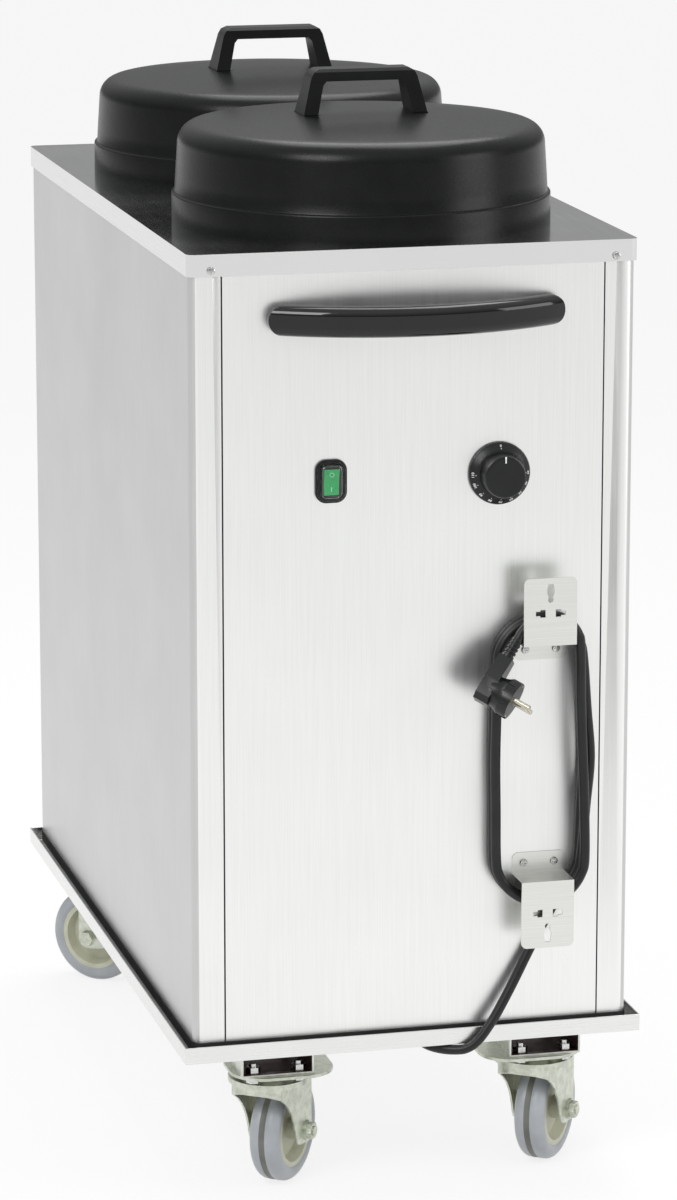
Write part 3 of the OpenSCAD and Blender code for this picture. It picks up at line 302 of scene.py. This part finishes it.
# painted shade: dark brown on the inside faces of the channels, where the hollow falls dark
CHANNEL_PAINTED_SHADE = plated("channel_inside_painted_shade", "#3a2723", "#553a33", 0.5, 9)
LID_PLASTIC = moulded("leather_grain_polypropylene", "#08090a", "#0e0f10", 0.3, 1.7, 0.1,
                      Specular_IOR_Level=0.22)
BAIL_PLASTIC = moulded("satin_moulded_nylon", "#0a0b0c", "#111213", 0.3, 0.7, 0.02,
                       Specular_IOR_Level=0.25)
GRIP_PLASTIC = moulded("polished_moulded_abs", "#040405", "#070708", 0.08, 30, 0.01)
CONTROL_BLACK = moulded("satin_black_polyamide", "#0e0f10", "#141516", 0.34, 0.6, 0.015,
                        Specular_IOR_Level=0.35)
SWITCH_GREEN = moulded("lit_green_polycarbonate", "#0f8f4c", "#1fae62", 0.2, 20, 0.01,
                       Emission_Color=srgb("#1fb566"), Emission_Strength=0.25)
MARK_WHITE = moulded("white_printed_ink", "#e9ebe8", "#f4f5f2", 0.5, 4, 0.01)
MARK_GREEN = moulded("pale_green_moulded_marks", "#8fe8b4", "#b3f5cd", 0.3, 4, 0.01)
TYRE_GREY = moulded("grey_thermoplastic_rubber", "#9b9ea3", "#a9acb1", 0.33, 2.5, 0.02)
# darker grey for a band round the middle of each tyre's tread
TYRE_DARK_BAND = moulded("grey_rubber_dark_middle_band", "#5c5d58", "#74756e", 0.5, 1.6, 0.1)
RIM_PLASTIC = moulded("beige_polypropylene_rim", "#b4b4a0", "#c4c4b1", 0.4, 2.0, 0.03)
CORD_PVC = moulded("black_cord_pvc", "#131514", "#1c1e1d", 0.36, 2.4, 0.03, Specular_IOR_Level=0.35)
PLUG_PVC = moulded("black_plug_pvc", "#0f1011", "#171819", 0.3, 1.0, 0.02, Specular_IOR_Level=0.4)
NICKEL = plated("nickel_plated_brass", "#bdb7a6", "#d6d1c2", 0.2, 5)
BEIGE_RESIN = moulded("beige_phenolic_resin", "#b9ad92", "#c8bca2", 0.4, 1.0, 0.02)
WHITE_PLASTIC = moulded("white_terminal_polyamide", "#d9d9d4", "#e6e6e1", 0.4, 1.0, 0.02)
WIRE_SLEEVE = moulded("brown_wire_silicone", "#3c2417", "#4a2d1d", 0.55, 1.2, 0.03)


def clear_silicone():
    """Clear splash hood: a thin soft skin that shows the rocker and takes small bright glints."""
    made, tree, shader = material("clear_silicone_hood", Transmission_Weight=1.0, IOR=1.41)
    shader.inputs["Base Color"].default_value = srgb("#eef4ef")
    skin = grain_field(tree, 2.2, detail=1.0)
    tree.links.new(spread(tree, skin, 0.02, 0.08), shader.inputs["Roughness"])
    relief(tree, shader, skin, 0.03, 0.4)
    return made


HOOD_CLEAR = clear_silicone()

FINISHES = [
    (STEEL_PAINTED_LIT, "front_panel"),
    (STEEL_PAINTED_SHADE, "side_panel_left side_panel_right rear_panel"),
    (STEEL_DECK, "deck_top"),
    (STEEL_TRAY, "tray"),
    (STEEL_BRACKET, "bracket_upper bracket_lower"),
    (STEEL_DRAWN, "well_collars platform_front platform_rear guide_bars"),
    (TUBE_METAL, "plate_tube_front plate_tube_rear well_bases"),
    (FRAME_PAINT, "chassis_frame"),
    (SCREW_METAL, "panel_screws lid_screws_front lid_screws_rear caster_bolts"),
    (SPRING_METAL, "spring_front spring_rear"),
    (HEATER_METAL, "heaters"),
    (CHANNEL_ZINC, "caster_spacers"),
    (ZINC, "caster_plates fork_fl fork_fr fork_rl fork_rr axle_fl axle_fr axle_rl axle_rr"),
    (LID_PLASTIC, "lid_front lid_rear"),
    (BAIL_PLASTIC, "lid_handle_front lid_handle_rear"),
    (GRIP_PLASTIC, "push_handle"),
    (CONTROL_BLACK, "switch_frame knob cable_gland"),
    (SWITCH_GREEN, "rocker"),
    (HOOD_CLEAR, "switch_hood"),
    (TYRE_GREY, "tyre_fl tyre_fr tyre_rl tyre_rr"),
    (RIM_PLASTIC, "rim_fl rim_fr rim_rl rim_rr"),
    (CORD_PVC, "cord_lead cord_winding"),
    (PLUG_PVC, "plug_body"),
    (NICKEL, "plug_pins"),
    (BEIGE_RESIN, "thermostat_body safety_cutout"),
    (WHITE_PLASTIC, "terminal_block"),
    (WIRE_SLEEVE, "wiring"),
]
finish_of = {}
for finish, names in FINISHES:
    for name in names.split():
        finish_of[name] = finish
        mesh = nodes[name].data
        mesh.materials.clear()
        mesh.materials.append(finish)


# ---------- shaping ----------
def piece(mesh, name, body, finishes, replaced=()):
    """Puts a finished mesh in the scene, on its body, with its finish and the solids it stands for."""
    obj = bpy.data.objects.new(name, mesh)
    bpy.context.scene.collection.objects.link(obj)
    for finish in finishes:
        mesh.materials.append(finish)
    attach(obj, body)
    if replaced:
        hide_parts(*replaced)
    return obj


def to_mesh(bm, name, place=None, sharp=38, outwards=True):
    """Closes a shape drawn in millimetres, puts it in place and shades it smooth between sharp edges."""
    bmesh.ops.remove_doubles(bm, verts=bm.verts, dist=0.002)
    if outwards:
        bmesh.ops.recalc_face_normals(bm, faces=bm.faces)
    bm.transform(Matrix.Scale(MM, 4) @ (place or Matrix()))
    mesh = bpy.data.meshes.new(name)
    bm.to_mesh(mesh)
    bm.free()
    mesh.shade_smooth()
    mesh.set_sharp_from_angle(angle=math.radians(sharp))
    return mesh


def lathe(outline, steps):
    """Spins an outline of (radius, height) points round +Z; it is closed on itself or on the axis."""
    bm = bmesh.new()
    row = [bm.verts.new((r, 0, z)) for r, z in outline]
    pairs = list(zip(row, row[1:] + row[:1]))
    # an edge that lies on the axis makes no surface
    rim = [bm.edges.new(pair) for pair in pairs if max(v.co.x for v in pair) > 0]
    bmesh.ops.spin(bm, geom=row + rim, cent=(0, 0, 0), axis=(0, 0, 1), angle=2 * math.pi,
                   steps=steps, use_merge=True)
    bmesh.ops.remove_doubles(bm, verts=bm.verts, dist=0.002)
    return bm


def bend(cx, cz, radius, first, last, count):
    """Points of an arc in an outline, from the first to the last angle in degrees."""
    return [(cx + radius * math.cos(math.radians(first + (last - first) * i / count)),
             cz + radius * math.sin(math.radians(first + (last - first) * i / count)))
            for i in range(count + 1)]


FLAT_ANGLE, EDGE_ANGLE = 0.5, 35        # degrees up to which faces are one, and from which they meet in an edge


def softened(node, width, segments):
    """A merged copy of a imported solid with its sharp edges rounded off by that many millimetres."""
    bm = bmesh.new()
    bm.from_mesh(nodes[node].data)
    bm.transform(Matrix.Scale(1 / MM, 4))
    bmesh.ops.remove_doubles(bm, verts=bm.verts, dist=0.002)
    bmesh.ops.dissolve_limit(bm, angle_limit=math.radians(FLAT_ANGLE), verts=bm.verts, edges=bm.edges)
    edges = [e for e in bm.edges
             if len(e.link_faces) == 2 and e.calc_face_angle(0) > math.radians(EDGE_ANGLE)]
    bmesh.ops.bevel(bm, geom=edges, offset=width, offset_type="OFFSET", affect="EDGES",
                    segments=segments, profile=0.5, material=-1, clamp_overlap=True)
    return to_mesh(bm, node, outwards=False)


def painted(mesh, *rules):
    """Gives each face the finish of the last rule that holds for its middle, in millimetres, and normal."""
    for face in mesh.polygons:
        for index, rule in enumerate(rules, 1):
            if rule(face.center / MM, face.normal):
                face.material_index = index
    return mesh


def even_normals(obj):
    """Keeps flat faces flat beside their rounded edges."""
    mod = obj.modifiers.new("even_normals", "WEIGHTED_NORMAL")
    mod.keep_sharp = True
    return obj


# ---------- cord ----------
def make_cord():
    route = rounded(cord_route())
    curve = bpy.data.curves.new("mains_cord", "CURVE")
    curve.dimensions = "3D"
    curve.bevel_depth = CORD_R * MM
    curve.bevel_resolution = 6
    curve.use_fill_caps = True
    spline = curve.splines.new("POLY")
    spline.points.add(len(route) - 1)
    for point, co in zip(spline.points, route):
        point.co = (*co, 1)
    spline.use_smooth = True
    cord = bpy.data.objects.new("mains_cord", curve)
    bpy.context.scene.collection.objects.link(cord)
    curve.materials.append(CORD_PVC)
    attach(cord, "cabinet")
    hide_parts("cord_lead", "cord_winding")
    return cord, route


mains_cord, route = make_cord()


# ---------- lids and handles ----------
LID_TOP = 106           # height of the dome's middle over the deck
LID_WALL = 3
SHOULDER, SHOULDER_R, SHOULDER_Z = 20, 164, 75.5    # radius of the lid's shoulder, and its middle
DOME_EDGE, DOME_RISE = 167.5, 10.804                # radius of the dome's rim, and its height over it
DOME = (DOME_EDGE ** 2 + DOME_RISE ** 2) / (2 * DOME_RISE)
PAD_X, PAD_Z, PAD_SIZE = 55, 103.1, (18, 42, 4.2)   # seats of the bail handle


def dome(r, depth):
    """A point of the dome, or of a surface that lies inside it by that depth."""
    return (r, LID_TOP - DOME + math.sqrt((DOME - depth) ** 2 - r ** 2))


def lid_outline():
    """Stepped foot, tapered wall, rounded shoulder and shallow dome: outside, then inside."""
    outer = [(190, 0), (190, 25), (189.7, 26.2), (188.8, 27), (187.4, 27.3), (186.9, 28.4), (186.2, 42)]
    outer += bend(SHOULDER_R, SHOULDER_Z, SHOULDER, 0, 80, 9)
    outer += [dome(r, 0) for r in range(160, -1, -16)]
    inner = [dome(r, LID_WALL) for r in range(0, 161, 20)]
    inner += bend(SHOULDER_R, SHOULDER_Z, SHOULDER - LID_WALL, 80, 0, 5)
    inner += [(183.6, 24), (187, 22.8), (187, 0)]
    return outer + inner


def make_lid(end):
    bm = lathe(lid_outline(), 144)
    for side in (-1, 1):
        pad = bmesh.ops.create_cube(bm, size=1)["verts"]
        bmesh.ops.scale(bm, vec=PAD_SIZE, verts=pad)
        bmesh.ops.translate(bm, vec=(side * PAD_X, 0, PAD_Z), verts=pad)
    mesh = to_mesh(bm, "lid_" + end + "_shell", Matrix.Translation((0, WELLS[end], DECK)))
    piece(mesh, "lid_" + end + "_shell", "lid_" + end, [LID_PLASTIC], ["lid_" + end])


for end in WELLS:
    make_lid(end)


# ---------- softened copies: solid, radius of its edges in mm, segments ----------
SOFTENED = [
    ("lid_handle_front", 1.0, 3), ("lid_handle_rear", 1.0, 3), ("push_handle", 0.6, 2),
    ("deck_top", 1.0, 3), ("tray", 0.5, 2), ("switch_frame", 0.9, 2), ("switch_hood", 0.8, 2),
    ("rocker", 0.5, 2), ("knob", 0.4, 2), ("plug_body", 0.7, 2),
    ("fork_fl", 0.6, 2), ("fork_fr", 0.6, 2), ("fork_rl", 0.6, 2), ("fork_rr", 0.6, 2),
]
for name, width, segments in SOFTENED:
    mesh = softened(name, width, segments)
    body = nodes[name]["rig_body"]
    even_normals(piece(mesh, name + "_finished", body, [finish_of[name]], [name]))


# ---------- pieces with two finishes ----------
def on_the_front(middle, normal):
    return normal.y < -0.8 and middle.y < FRONT + 1


def in_a_channel(middle, normal):
    """The inner faces of the spacer channels over the casters, which get a painted shade."""
    near = min((Vector(place[:2]) - middle.xy).length for place in CASTERS.values())
    aside = min(abs(middle.x - place[0]) for place in CASTERS.values())
    return near < 45 and aside < 35.5 and 132 < middle.z < 152 and abs(normal.y) < 0.5


# the side panels' front returns take the painted-light copy of the steel, like the front panel
for name, second, rule in (("side_panel_left", STEEL_PAINTED_LIT, on_the_front),
                           ("side_panel_right", STEEL_PAINTED_LIT, on_the_front),
                           ("caster_spacers", CHANNEL_PAINTED_SHADE, in_a_channel)):
    piece(painted(softened(name, 0.25, 1), rule), name + "_finished", "cabinet",
          [finish_of[name], second], [name])


# ---------- black strip of painted shade in the gap between walls and tray ---
# painted shade: near-black strip where the gap between walls and tray falls dark
GAP_SHADE_BLACK = moulded("black_painted_gap_shade", "#0b0b0b", "#131313", 0.6, 1.5, 0.03)


WALL_HALF_X, WALL_HALF_Y, WALL_CORNER = 223, 410, 10        # outside of the walls, and their corner radius
SHADE_STRIP = ((0.05, 160), (0.8, 160), (0.8, 170.0), (0.5, 170.8), (0.05, 171.0))     # off the wall, height


def corner_line(half_x, half_y, radius):
    """Points round a rectangle with round corners."""
    line = []
    for turn, (sx, sy) in enumerate(((1, 1), (-1, 1), (-1, -1), (1, -1))):
        line += bend(sx * (half_x - radius), sy * (half_y - radius), radius, 90 * turn, 90 * turn + 90, 8)
    return line


def make_gap_shade():
    """Thin black strip that follows the foot of the walls where they stand in the tray: painted shade for the
    dark gap there.
    """
    bm = bmesh.new()
    rows = []
    for grow, height in SHADE_STRIP:
        row = [bm.verts.new((x, y + WALL_Y, height))
               for x, y in corner_line(WALL_HALF_X + grow, WALL_HALF_Y + grow, WALL_CORNER + grow)]
        rows.append([bm.edges.new(pair) for pair in zip(row, row[1:] + row[:1])])
    for first, second in zip(rows, rows[1:] + rows[:1]):
        bmesh.ops.bridge_loops(bm, edges=first + second)
    piece(to_mesh(bm, "wall_foot_gap_shade"), "wall_foot_gap_shade", "cabinet", [GAP_SHADE_BLACK])


make_gap_shade()


# ---------- wheels ----------
def caster_place(corner):
    """Axle frame of a caster: local Z along the axle, towards the nut."""
    x, y, turn = CASTERS[corner]
    swivel = Matrix.Translation((x, y, 0)) @ Matrix.Rotation(math.radians(turn), 4, "Z")
    return swivel @ Matrix.Translation((TRAIL, 0, AXLE_Z)) @ TO_FRONT


def make_tyre(corner):
    """Solid tyre with round shoulders, a crowned tread and a darker band round the middle of its tread."""
    name = "tyre_" + corner + "_tread"
    outline = [(39, -14.5), (41, -15.7), (44, -16)]
    outline += bend(43.9, -6.1, 9.9, -90, -14, 8)
    outline += [(53.8, -3.6), (53.6, -3.2), (53.6, 3.2), (53.8, 3.6)]
    outline += bend(43.9, 6.1, 9.9, 14, 90, 8)
    outline += [(44, 16), (41, 15.7), (39, 14.5)]
    place = caster_place(corner)
    mesh = to_mesh(lathe(outline, 128), name, place, 50)
    back = place.inverted()
    # faces of the tread within 3.3 mm of its middle take the darker band
    painted(mesh, lambda middle, normal: abs((back @ middle).z) < 3.3 and (back @ middle).xy.length > 50)
    piece(mesh, name, "wheel_" + corner, [TYRE_GREY, TYRE_DARK_BAND], ["tyre_" + corner])


for corner in CASTERS:
    make_tyre(corner)


# ---------- knob print and switch marks ----------
KNOB_FACE = Matrix.Translation((KNOB_X, FRONT, CONTROLS)) @ TO_FRONT


def bar(width, height, depth):
    bm = bmesh.new()
    bmesh.ops.create_cube(bm, size=1)
    bmesh.ops.scale(bm, vec=(width, height, depth), verts=bm.verts)
    return bm


def ring(outer, inner, depth):
    return lathe([(inner, 0), (outer, 0), (outer, depth), (inner, depth)], 40)


def joined(parts):
    """One bmesh of several, each with its place, or of meshes."""
    bm = bmesh.new()
    for part, where in parts:
        held = part
        if isinstance(part, bmesh.types.BMesh):
            held = bpy.data.meshes.new("held")
            part.to_mesh(held)
            part.free()
        held.transform(where)
        bm.from_mesh(held)
        bpy.data.meshes.remove(held)
    return bm


def printed(name, parts, place, body, finish):
    """Thin ink shapes on a moulded face."""
    piece(to_mesh(joined(parts), name, place), name, body, [finish])


SKIRT_R, SKIRT_FOOT = 30, 5         # the knob's skirt at its edge: radius, and height over the panel
SKIRT_RISE, SKIRT_RUN = 4, 5.5
INK = 0.03                          # height of the ink's middle over the skirt


def on_skirt(radius, degrees):
    """A place on the sloping skirt of the knob, turned so that +Y points outwards."""
    height = SKIRT_FOOT + (SKIRT_R - radius) * SKIRT_RISE / SKIRT_RUN + INK
    return (Matrix.Rotation(math.radians(degrees - 90), 4, "Z") @ Matrix.Translation((0, radius, height))
            @ Matrix.Rotation(-math.atan2(SKIRT_RISE, SKIRT_RUN), 4, "X"))


# plain numbers of the dial, each with its angle
DIAL = [("0", 90)] + [(str(110 - 10 * k), 180 + 22.6 * k) for k in range(9)]


def number_mesh(label):
    """A plain number of about 3 mm, placed by its middle."""
    text = bpy.data.curves.new("number", "FONT")
    text.body = label
    text.size = 3.8
    text.align_x = "CENTER"
    text.align_y = "CENTER"
    text.offset = 0.03
    text.extrude = 0.02
    text.resolution_u = 3
    holder = bpy.data.objects.new("number", text)
    flat = bpy.data.meshes.new_from_object(holder)
    bpy.data.objects.remove(holder)
    return flat


printed("knob_numbers", [(number_mesh(label), on_skirt(27.9, degrees)) for label, degrees in DIAL],
        KNOB_FACE, "knob", MARK_WHITE)
dots = [(bar(0.7, 0.7, 0.04), on_skirt(25.4, degrees)) for _, degrees in DIAL]
pointer = (bar(1.5, 6.4, 0.3), Matrix.Translation((0, 17.2, 25.36)))
printed("knob_dots", dots + [pointer], KNOB_FACE, "knob", MARK_WHITE)


def tilted(degrees):
    return Matrix.Rotation(math.radians(degrees), 4, "X")


ROCKER_TILT, HALF_TILT = 7, 5.2     # the rocker at rest, and each half of its face against the middle
rocker_face = Matrix.Translation((SWITCH_X, FRONT - 1, CONTROLS)) @ tilted(ROCKER_TILT) @ TO_FRONT
printed("rocker_marks", [
    (ring(2.6, 1.6, 0.1), Matrix.Translation((0, 7.4, 3.4)) @ tilted(HALF_TILT)),
    (bar(1.1, 4.8, 0.1), Matrix.Translation((0, -7.4, 3.46)) @ tilted(-HALF_TILT)),
], rocker_face, "rocker", MARK_GREEN)


# ---------- strain relief of the gland ----------
def make_sleeve():
    """Tapered soft sleeve over the first 32 mm of the cord."""
    outline = [(5.1, 0), (5.85, 0), (5.85, 3)]
    for i in range(5):      # a groove every 4 mm
        start, taper = i * 4, i * 0.08
        outline += [(5.8 - taper, 6 + start), (5.4, 6.6 + start),
                    (5.4, 7.8 + start), (5.75 - taper, 8.4 + start)]
    outline += [(5.35, 32), (5.1, 32)]
    place = Matrix.Translation((RISE[0][0], FRONT - RISE[0][1], TRAY_Z - 6)) @ TO_FRONT
    piece(to_mesh(lathe(outline, 40), "gland_sleeve", place), "gland_sleeve", "cabinet", [CORD_PVC])


make_sleeve()


# ---------- stage ----------
def soft_lamp(name, place, aim, width, height, power):
    data = bpy.data.lights.new(name, "AREA")
    data.shape = "RECTANGLE"
    data.size, data.size_y, data.energy = width, height, power
    lamp = bpy.data.objects.new(name, data)
    lamp.location = place
    lamp.rotation_euler = (Vector(aim) - Vector(place)).to_track_quat("-Z", "Y").to_euler()
    bpy.context.scene.collection.objects.link(lamp)


def either(tree, *rays):
    """1 for a ray of any of these kinds, or else 0."""
    found = rays[0]
    for ray in rays[1:]:
        found = wire(tree, "ShaderNodeMath", {"operation": "MAXIMUM"}, {0: found, 1: ray}).outputs[0]
    return found


def make_world():
    """White where the camera looks past the floor. Reflections see a studio that is dim at the
    horizon and bright overhead, so that black plastic stays black."""
    world = bpy.data.worlds.new("studio")
    bpy.context.scene.world = world
    world.use_nodes = True
    tree = world.node_tree
    tree.nodes.clear()
    path = wire(tree, "ShaderNodeLightPath")
    coords = wire(tree, "ShaderNodeTexCoord")
    height = wire(tree, "ShaderNodeSeparateXYZ", {}, {0: coords.outputs["Generated"]}).outputs["Z"]
    glow = spread(tree, height, 0.3, 1.0, 0.1, 0.75)
    lit = wire(tree, "ShaderNodeBackground", {"Color": srgb("#f4f5f5"), "Strength": 0.75})
    mirrored = wire(tree, "ShaderNodeBackground", {"Color": srgb("#f6f7f7")}, {"Strength": glow})
    seen = wire(tree, "ShaderNodeBackground", {"Color": (1, 1, 1, 1), "Strength": 1.0})
    shine = wire(tree, "ShaderNodeMixShader", {},
                 {0: path.outputs["Is Glossy Ray"], 1: lit.outputs[0], 2: mirrored.outputs[0]})
    through = either(tree, path.outputs["Is Camera Ray"], path.outputs["Is Transmission Ray"])
    mix = wire(tree, "ShaderNodeMixShader", {}, {0: through, 1: shine.outputs[0], 2: seen.outputs[0]})
    wire(tree, "ShaderNodeOutputWorld", {}, {"Surface": mix.outputs[0]})


FLOOR_HALF = 30         # metres
WHITE_SHARE = 0.8       # the rest is matt floor, which takes the shadow


def make_floor():
    """Pale matt floor with the shadow of the trolley, lifted towards white where it is seen or mirrored."""
    bm = bmesh.new()
    bmesh.ops.create_grid(bm, x_segments=4, y_segments=4, size=FLOOR_HALF)
    mesh = bpy.data.meshes.new("studio_floor")
    bm.to_mesh(mesh)
    bm.free()
    floor = bpy.data.objects.new("studio_floor", mesh)
    bpy.context.scene.collection.objects.link(floor)
    made = bpy.data.materials.new("pale_studio_floor")
    made.use_nodes = True
    tree = made.node_tree
    tree.nodes.clear()
    path = wire(tree, "ShaderNodeLightPath")
    seen = either(tree, path.outputs["Is Camera Ray"], path.outputs["Is Transmission Ray"],
                  path.outputs["Is Glossy Ray"])
    matt = wire(tree, "ShaderNodeBsdfDiffuse", {"Color": srgb("#f4f4f3")})
    white = wire(tree, "ShaderNodeEmission", {"Color": (1, 1, 1, 1), "Strength": 1.0})
    share = wire(tree, "ShaderNodeMath", {"operation": "MULTIPLY", 1: WHITE_SHARE}, {0: seen})
    mix = wire(tree, "ShaderNodeMixShader", {}, {0: share.outputs[0], 1: matt.outputs[0], 2: white.outputs[0]})
    wire(tree, "ShaderNodeOutputMaterial", {}, {"Surface": mix.outputs[0]})
    mesh.materials.append(made)


make_world()
make_floor()
soft_lamp("key_softbox", (-2.2, -2.6, 2.8), (0, 0, 0.6), 1.6, 1.6, 60)
soft_lamp("top_softbox", (0.4, 0.8, 3.0), (0, 0, 0.9), 1.8, 1.8, 40)
soft_lamp("fill_softbox", (2.6, -1.8, 1.4), (0, 0, 0.5), 1.4, 1.4, 20)
